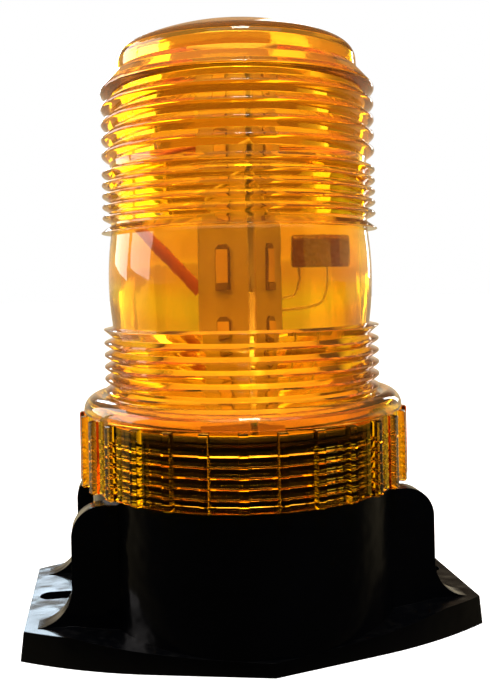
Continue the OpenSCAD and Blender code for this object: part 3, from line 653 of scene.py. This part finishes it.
SHANK_R, THREAD_STEP = 1.13, 0.55
COVER_SCREW_R, COVER_HEAD_Z, COVER_HEAD_R, COVER_HEAD_H, COVER_SHANK_L = 37, 0.3, 2.8, 0.8, 8.6
CLAMP_Y, CLAMP_SPACING, CLAMP_TOP, CLAMP_HEAD_R, CLAMP_HEAD_H = 10.5, 18, 6.8, 2.4, 1.4
DISC_TOP, DISC_SCREW_R, DISC_HEAD_R, SMALL_HEAD_H, DISC_SHANK_L = 56.8, 34.6, 2.6, 1.3, 6.5
BOARD_BOTTOM, BOARD_TOP, BOARD_SCREW_R, BOARD_HEAD_R, BOARD_SHANK_L = 24.4, 26.0, 37, 2.5, 8
CLAMP_SHANK_L = 4.2
TERMINAL_W, TERMINAL_H, TERMINAL_SCREW_R, TERMINAL_SCREW_H = 15, 10, 1.7, 2.2
TERMINAL_HEAD_H, TERMINAL_SUNK, TERMINAL_NECK = 1.0, 0.4, 0.8


def add_screw(mesh, spot, face_z, way, head_r, head_h, shank_r, shank_l, cross=True):
    """Pan head with a cross or slot recess, and a threaded shank. way is where the shank points."""
    depth = head_h * 0.5

    def recess(x, y):
        """Depth of the driver's cross or slot at a place on the head."""
        arm, half = head_r * 0.55, head_r * 0.12
        bars = [(x, y), (y, x)] if cross else [(x, y)]
        edge = max(min(arm - abs(u), half - abs(v)) for u, v in bars)
        return way * depth * min(max(edge / 0.12 + 0.5, 0), 1)

    dome = [(0, 0.0, 1)] + [(head_r * k / 14, head_h * 0.16 * (k / 14) ** 3, 1) for k in range(1, 12)]
    rim = [(head_r * 0.9, head_h * 0.2), (head_r * 0.97, head_h * 0.34), (head_r, head_h * 0.55),
           (head_r, head_h), (shank_r, head_h + 0.02)]
    turns = int((shank_l - 0.8) / THREAD_STEP)
    shank = []
    for i in range(turns):
        t = head_h + 0.2 + i * THREAD_STEP
        shank += [(shank_r * 0.84, t), (shank_r, t + THREAD_STEP * 0.5)]
    end = head_h + shank_l
    profile = dome + rim + shank + [(shank_r * 0.84, end - 0.4), (0, end)]
    lathe(mesh, [(r, face_z + way * t, *cut) for r, t, *cut in profile], even_angles(48), spot,
          sink=recess)


def circle_spots(radius, count, turn):
    """Places spread evenly round the axis, the first at turn degrees."""
    steps = [math.radians(turn + 360 * i / count) for i in range(count)]
    return [(radius * math.cos(a), radius * math.sin(a)) for a in steps]


def screw_set(name, node, spots, *size, cross=True):
    """One piece with equal screws; size is what add_screw takes after its spot."""
    mesh = bmesh.new()
    for spot in spots:
        add_screw(mesh, spot, *size, cross=cross)
    dress(add_piece(name, mesh), "screw_steel", "base", node, 40)


screw_set("cover_fasteners", "cover_screws", circle_spots(COVER_SCREW_R, 4, 45),
          COVER_HEAD_Z, 1, COVER_HEAD_R, COVER_HEAD_H, SHANK_R, COVER_SHANK_L)
screw_set("clamp_fasteners", "clamp_screws", [(s * CLAMP_SPACING / 2, CLAMP_Y) for s in (-1, 1)],
          CLAMP_TOP + CLAMP_HEAD_H, -1, CLAMP_HEAD_R, CLAMP_HEAD_H, SHANK_R, CLAMP_SHANK_L)
screw_set("disc_fasteners", "disc_screws", circle_spots(DISC_SCREW_R, 3, 90),
          DISC_TOP + SMALL_HEAD_H, -1, DISC_HEAD_R, SMALL_HEAD_H, SHANK_R, DISC_SHANK_L)
screw_set("driver_fasteners", "driver_screws", circle_spots(BOARD_SCREW_R, 4, 0),
          BOARD_BOTTOM - SMALL_HEAD_H, 1, BOARD_HEAD_R, SMALL_HEAD_H, SHANK_R, BOARD_SHANK_L)
screw_set("terminal_fasteners", "terminal_screws", [(s * TERMINAL_W / 4, 0) for s in (-1, 1)],
          BOARD_BOTTOM - TERMINAL_H + TERMINAL_SUNK, 1, TERMINAL_SCREW_R, TERMINAL_HEAD_H,
          TERMINAL_SCREW_R * TERMINAL_NECK, TERMINAL_SCREW_H - TERMINAL_HEAD_H, cross=False)

# ---------------------------------------------------------------- driver

softened("driver_plate", "driver_board", "green_laminate", 0.12)
softened("terminal_body", "terminal_block", "green_plastic", 0.3)
softened("transistor_body", "switch_transistor", "black_epoxy", 0.2)
softened("chip_body", "control_chip", "black_epoxy", 0.1)
softened("resistor_bodies", "chip_resistors", "black_epoxy", 0.08)
softened("choke_bobbin", "choke_core", "ferrite", 0.35, 3)

CHOKE_SPOT, WINDING_R, WINDING_HUB_R, WINDING_Z, WINDING_TOP = (-18, 14), 7.2, 4.05, 27.45, 37.55
WINDING_TURNS = 14
STORAGE_SPOT, STORAGE_R, STORAGE_H, STORAGE_BEAD_R = (17, 13), 6.3, 19, 6.5
TOP_SUNK, SCORE_DEPTH, SCORE_HALF, SCORE_REACH = 0.3, 0.25, 0.35, 0.72


def add_winding():
    """Copper wire wound turn beside turn on the choke's bobbin."""
    pitch = (WINDING_TOP - WINDING_Z) / WINDING_TURNS
    outer = [(WINDING_HUB_R, WINDING_Z)]
    for i in range(WINDING_TURNS):
        z = WINDING_Z + (i + 0.5) * pitch
        outer += [(WINDING_R - pitch / 2 + pitch / 2 * math.cos(a), z + pitch / 2 * math.sin(a))
                  for a in (-1.4, -0.7, 0.0, 0.7, 1.4)]
    mesh = bmesh.new()
    lathe(mesh, outer + [(WINDING_HUB_R, WINDING_TOP)], even_angles(72), CHOKE_SPOT)
    dress(add_piece("choke_winding", mesh), "copper_wire", "base", "choke_coil", 80)


def add_storage():
    """Electrolytic can: crimped foot, rounded shoulder and a scored top."""
    def score(x, y):
        """The groove of the cross that is pressed into the top."""
        if math.hypot(x, y) >= STORAGE_R * SCORE_REACH:
            return 0.0
        return -SCORE_DEPTH * max(0.0, 1 - min(abs(x), abs(y)) / SCORE_HALF)

    top_z = STORAGE_H - TOP_SUNK
    top = [(STORAGE_R * k / 20, top_z, 1) for k in range(15, 0, -1)] + [(0, top_z, 1)]
    corners = [(STORAGE_R - 0.9, 0, 0.2), (STORAGE_BEAD_R, 0.3, 0.4), (STORAGE_BEAD_R, 1.6, 0.5),
               (STORAGE_R - 0.75, 2.3, 0.4), (STORAGE_R, 3.0, 0.5), (STORAGE_R, STORAGE_H, 0.7),
               (STORAGE_R * 0.84, STORAGE_H, 0.15), (STORAGE_R * 0.8, top_z, 0.1)]
    profile = [(0, 0)] + rounded(corners, 4, closed=False) + top
    mesh = bmesh.new()
    lathe(mesh, [(r, BOARD_TOP + z, *cut) for r, z, *cut in profile], even_angles(72), STORAGE_SPOT,
          sink=score)
    dress(add_piece("storage_can", mesh), "capacitor_sleeve", "base", "storage_capacitor", 45)


add_winding()
add_storage()

# ---------------------------------------------------------------- tower and reflector

softened("reflector_plate", "reflector_disc", "white_plastic", 0.3)
softened("foot_plate", "tower_foot", "green_laminate", 0.12)
softened("tower_spacers", "tower_ties", "white_laminate", 0.12)
softened("tower_lid", "tower_cap", "white_plastic", 0.25)
for side in range(1, 5):
    softened(f"tower_board_{side}", f"led_board_{side}", "tan_laminate", 0.1)
    softened(f"emitter_bezels_{side}", f"emitter_frames_{side}", "emitter_frame", 0.12)
    softened(f"emitter_panels_{side}", f"emitters_{side}", "emitter_phosphor", 0.15)
softened("film_body", "film_capacitor", "brown_epoxy", 0.9, 4)

# ---------------------------------------------------------------- seal, leads and legs

SEAL_IN_R, SEAL_OUT_R, SEAL_Z, SEAL_T = 39.6, 42.4, 57.4, 1.4
LEG_R, JUMPER_R, SUPPLY_R = 0.35, 1.7, 0.9
LEG_ROUTES = [
    [(17.4, -2.6, 100.9), (17.4, -2.6, 97.5), (16.6, 0, 94.8), (14, 3.4, 94), (10.9, 4.1, 93.8)],
    [(25.7, -3.8, 100.9), (25.7, -3.8, 96.5), (24.6, 0, 92.6), (18, 7, 91.4), (8.7, 5.9, 91)]]
JUMPER_ROUTE = [(-12, 2.7, 95.8), (-14.4, 3.1, 98), (-21, 3.8, 103.8), (-27.6, 4.2, 109.8),
                (-31, 4, 115), (-31.4, 3, 122), (-28, 2.4, 129.8), (-20, 2.4, 136), (-14, 2.8, 138.4),
                (-11.8, 2.5, 139)]
RED_ROUTE = [(-6, -12, 26.1), (-6, -12, 31), (-7, -14, 38), (-8, -14, 44), (-6, -10, 49),
             (-6, -10, 53.8)]
BLACK_ROUTE = [(-x, y - 1, z) for x, y, z in RED_ROUTE]


def add_seal():
    """The rubber ring between the neck and the lens, with rounded edges."""
    section = rounded([(SEAL_IN_R, SEAL_Z, 0.4), (SEAL_OUT_R, SEAL_Z, 0.4),
                       (SEAL_OUT_R, SEAL_Z + SEAL_T, 0.4), (SEAL_IN_R, SEAL_Z + SEAL_T, 0.4)], 4)
    mesh = bmesh.new()
    lathe(mesh, section, even_angles(180))
    dress(add_piece("seal_band", mesh), "rubber_black", "seal_ring", "lens_seal", 60)


def add_wires(name, node, slot, routes, radius):
    """One piece with a round wire along each route."""
    mesh = bmesh.new()
    for route in routes:
        tube(mesh, route, radius)
    dress(add_piece(name, mesh), slot, "base", node, 60)


add_seal()
add_wires("film_legs", "film_capacitor_legs", "tinned_wire", LEG_ROUTES, LEG_R)
add_wires("jumper_wire", "jumper_lead", "red_pvc", [JUMPER_ROUTE], JUMPER_R)
add_wires("supply_red", "red_lead", "red_pvc", [RED_ROUTE], SUPPLY_R)
add_wires("supply_black", "black_lead", "black_pvc", [BLACK_ROUTE], SUPPLY_R)

# ---------------------------------------------------------------- stage and light

# The floor and the world look white to the camera. Rays through the amber and mirror rays see a
# room instead: dark on the camera's side, bright behind. Y grows away from the camera; in the
# world, Y and Z are parts of the ray's direction, so Z is the sine of its elevation. An EDGE or a
# RISE is the stretch of Y or Z over which one level or colour turns into the next.
WHITE = (1.0, 1.0, 1.0)
FLOOR_R, FLOOR_DROP = 4000, 0.05 * MM
THROUGH_FRONT, THROUGH_BACK, THROUGH_EDGE = 0.01, 1.2, (-0.05, 0.05)
POOL_START, POOL_END, POOL_LEVEL = (1.1, 1.5), (2.8, 3.8), 0.8
THROUGH_COLOUR, POOL_COLOUR = (0.95, 0.9, 0.45), (1.0, 0.78, 0.4)
SHINE_FRONT, SHINE_BACK, SHINE_EDGE, SHINE_COLOUR = 0.015, 0.7, (-0.05, 0.15), (1.0, 0.82, 0.5)

WALL_FRONT, WALL_BACK, WALL_EDGE = 0.02, 0.48, (-0.65, 0.1)
WALL_HORIZON, WALL_FOOT, WALL_TOP = 0.75, 2.0, 0.55
HORIZON_RISE, FOOT_RISE, WALL_RISE = (0.0, 0.05), (0.08, 0.16), (0.16, 0.7)
HORIZON_COLOUR, FOOT_COLOUR, WALL_COLOUR = (1.0, 0.82, 0.4), (0.82, 1.0, 0.2), (1.0, 0.74, 0.5)
SKY_LEVEL, SKY_EDGE, SKY_RISE = 4.5, (-0.3, 0.1), (0.4, 0.65)
SKY_COLOUR, SKY_COLOUR_RISE = (1.0, 0.7, 0.85), (0.3, 0.55)

MIRROR_FRONT, MIRROR_BACK, MIRROR_EDGE = 0.04, 0.85, (-0.5, 0.2)
MIRROR_WALL, MIRROR_WALL_RISE, MIRROR_SKY, MIRROR_SKY_RISE = 0.5, (0.08, 0.25), 0.35, (0.4, 0.6)
MIRROR_RIGHT, RIGHT_EDGE, RIGHT_RISE = 0.3, (0.16, 0.3), (0.15, 0.28)
MIRROR_LOW_COLOUR, MIRROR_HIGH_COLOUR = (1.0, 0.84, 0.58), (0.64, 0.44, 0.28)
MIRROR_COLOUR_RISE = (0.1, 0.45)


def floor_surface(tree, eye_shader):
    """What each kind of ray sees of the floor; eye_shader is for the camera."""
    away = coordinates(tree)["Y"]
    pool = multiply(tree, span(tree, away, 0, 1, *POOL_START), span(tree, away, 1, 0, *POOL_END))
    through_colour = blend_colours(tree, pool, THROUGH_COLOUR, POOL_COLOUR, 0, 1)
    through_level = multiply(tree, span(tree, away, THROUGH_FRONT, THROUGH_BACK, *THROUGH_EDGE),
                             span(tree, pool, 1.0, POOL_LEVEL, 0, 1))
    shine_level = span(tree, away, SHINE_FRONT, SHINE_BACK, *SHINE_EDGE)
    return ray_switch(tree, [
        ("Is Camera Ray", eye_shader),
        ("Is Transmission Ray", glow(tree, "ShaderNodeEmission", through_colour, through_level)),
        glow(tree, "ShaderNodeEmission", SHINE_COLOUR, shine_level)])


def add_floor():
    """Pale floor disc under the beacon."""
    mesh = bmesh.new()
    bmesh.ops.create_circle(mesh, cap_ends=True, segments=96, radius=FLOOR_R)
    floor = add_piece("floor", mesh)
    floor.location.z = -FLOOR_DROP
    material, tree, bsdf = new_material("floor_white", (0.9, 0.9, 0.9), 0.7)
    tree.links.new(span(tree, noise(tree, 8, 2), 0.65, 0.8), bsdf.inputs["Roughness"])
    bsdf.inputs["Emission Color"].default_value = (*WHITE, 1)
    bsdf.inputs["Emission Strength"].default_value = 1.0
    tree.links.new(floor_surface(tree, bsdf.outputs["BSDF"]),
                   tree.nodes["Material Output"].inputs["Surface"])
    floor.data.materials.append(material)


def room_beyond(tree, away, height):
    """Colour and level of the room that the lens looks into: a pale wall with a bright foot, and
    a window's sky above the camera's side."""
    foot = multiply(tree, span(tree, height, WALL_FOOT, 1.0, *FOOT_RISE),
                    span(tree, height, WALL_HORIZON, 1.0, *HORIZON_RISE))
    side = multiply(tree, span(tree, away, WALL_FRONT, WALL_BACK, *WALL_EDGE), foot)
    wall = multiply(tree, side, span(tree, height, 1.0, WALL_TOP, *WALL_RISE))
    sky = multiply(tree, span(tree, away, SKY_LEVEL, 0, *SKY_EDGE),
                   span(tree, height, 0, 1, *SKY_RISE))
    colour = blend_colours(tree, height, HORIZON_COLOUR, FOOT_COLOUR, *HORIZON_RISE)
    colour = blend_colours(tree, height, colour, WALL_COLOUR, *FOOT_RISE)
    colour = blend_colours(tree, height, colour, SKY_COLOUR, *SKY_COLOUR_RISE)
    return colour, total(tree, wall, sky)


def room_mirrored(tree, right, away, height):
    """Colour and level of the room in mirror rays, dimmer to the right above the horizon."""
    band = total(tree, span(tree, height, 1, MIRROR_WALL, *MIRROR_WALL_RISE),
                 span(tree, height, 0, MIRROR_SKY, *MIRROR_SKY_RISE))
    dimmed = multiply(tree, span(tree, height, 0, 1, *RIGHT_RISE),
                      span(tree, right, 1, MIRROR_RIGHT, *RIGHT_EDGE))
    band = multiply(tree, band, total(tree, dimmed, span(tree, height, 1, 0, *RIGHT_RISE)))
    colour = blend_colours(tree, height, MIRROR_LOW_COLOUR, MIRROR_HIGH_COLOUR, *MIRROR_COLOUR_RISE)
    return colour, multiply(tree, span(tree, away, MIRROR_FRONT, MIRROR_BACK, *MIRROR_EDGE), band)


def add_world():
    """White backdrop to the camera, and the room to the other rays."""
    world = bpy.data.worlds.new("studio")
    scene.world = world
    world.use_nodes = True
    tree = world.node_tree
    direction = coordinates(tree, "Generated")
    right, away, height = direction["X"], direction["Y"], direction["Z"]
    backdrops = [(WHITE, 1.0), room_beyond(tree, away, height),
                 room_mirrored(tree, right, away, height)]
    eye, through, mirrored = [glow(tree, "ShaderNodeBackground", *look) for look in backdrops]
    tree.links.new(ray_switch(tree, [("Is Camera Ray", eye), ("Is Transmission Ray", through),
                                     mirrored]), tree.nodes["World Output"].inputs["Surface"])


def add_area(name, azimuth, elevation, distance, size, power, colour=WHITE, roll=0, aim=90,
             unseen_by=()):
    """A soft rectangular lamp, distance metres from the axis and turned to it at the height of aim.
    Azimuth 0 is on the camera's side and 90 to its right. unseen_by names kinds of ray."""
    data = bpy.data.lights.new(name, "AREA")
    data.shape = "RECTANGLE"
    data.size, data.size_y = size
    data.energy = power
    data.color = colour
    lamp = bpy.data.objects.new(name, data)
    scene.collection.objects.link(lamp)
    turn = math.radians(azimuth) - CAMERA_TURN
    lift = math.radians(elevation)
    away = Vector((math.sin(turn) * math.cos(lift), -math.cos(turn) * math.cos(lift), math.sin(lift)))
    target = Vector((0, 0, aim * MM))
    lamp.location = target + away * distance
    turned = away.to_track_quat("Z", "Y").to_matrix() @ Matrix.Rotation(math.radians(roll), 3, "Z")
    lamp.rotation_euler = turned.to_euler()
    for kind in ("camera", *unseen_by):
        setattr(lamp, f"visible_{kind}", False)


def add_lamps():
    """Windows to the left and behind, cards that the dome mirrors, soft fill, and a strip inside
    the tower that stands in for the daylight through its corner slit."""
    for pane in (-1, 1):
        add_area("window_pane", -105 + 14.5 * pane, 20, 0.8, (0.36, 0.52), 2.3,
                 (1.0, 0.95, 0.95), roll=-9)
    add_area("window_far", -163, 19, 0.9, (0.26, 0.16), 1.4, (0.7, 0.86, 1.0))
    add_area("warm_card", 180, 27, 0.4, (0.5, 0.24), 0.12, (1.0, 0.66, 0.34), aim=170)
    add_area("white_card", 172, 26, 0.38, (0.035, 0.18), 0.05, aim=170)
    add_area("window_right", 146, 11, 0.9, (0.09, 0.34), 0.6)
    add_area("front_strip", 6, 58, 0.8, (0.16, 0.2), 2.0)
    add_area("front_soft", 10, 52, 0.9, (0.9, 0.3), 0.9)
    add_area("ceiling", -30, 78, 0.9, (0.5, 0.5), 2.6, unseen_by=["glossy"])
    add_area("fill_right", 72, 12, 0.9, (0.5, 0.5), 1.6, unseen_by=["glossy"])
    add_area("slit_glow", 180, 0, 0.002, (0.003, 0.026), 0.035, (1.0, 0.82, 0.35), aim=82,
             unseen_by=["glossy", "transmission"])


add_floor()
add_world()
add_lamps()
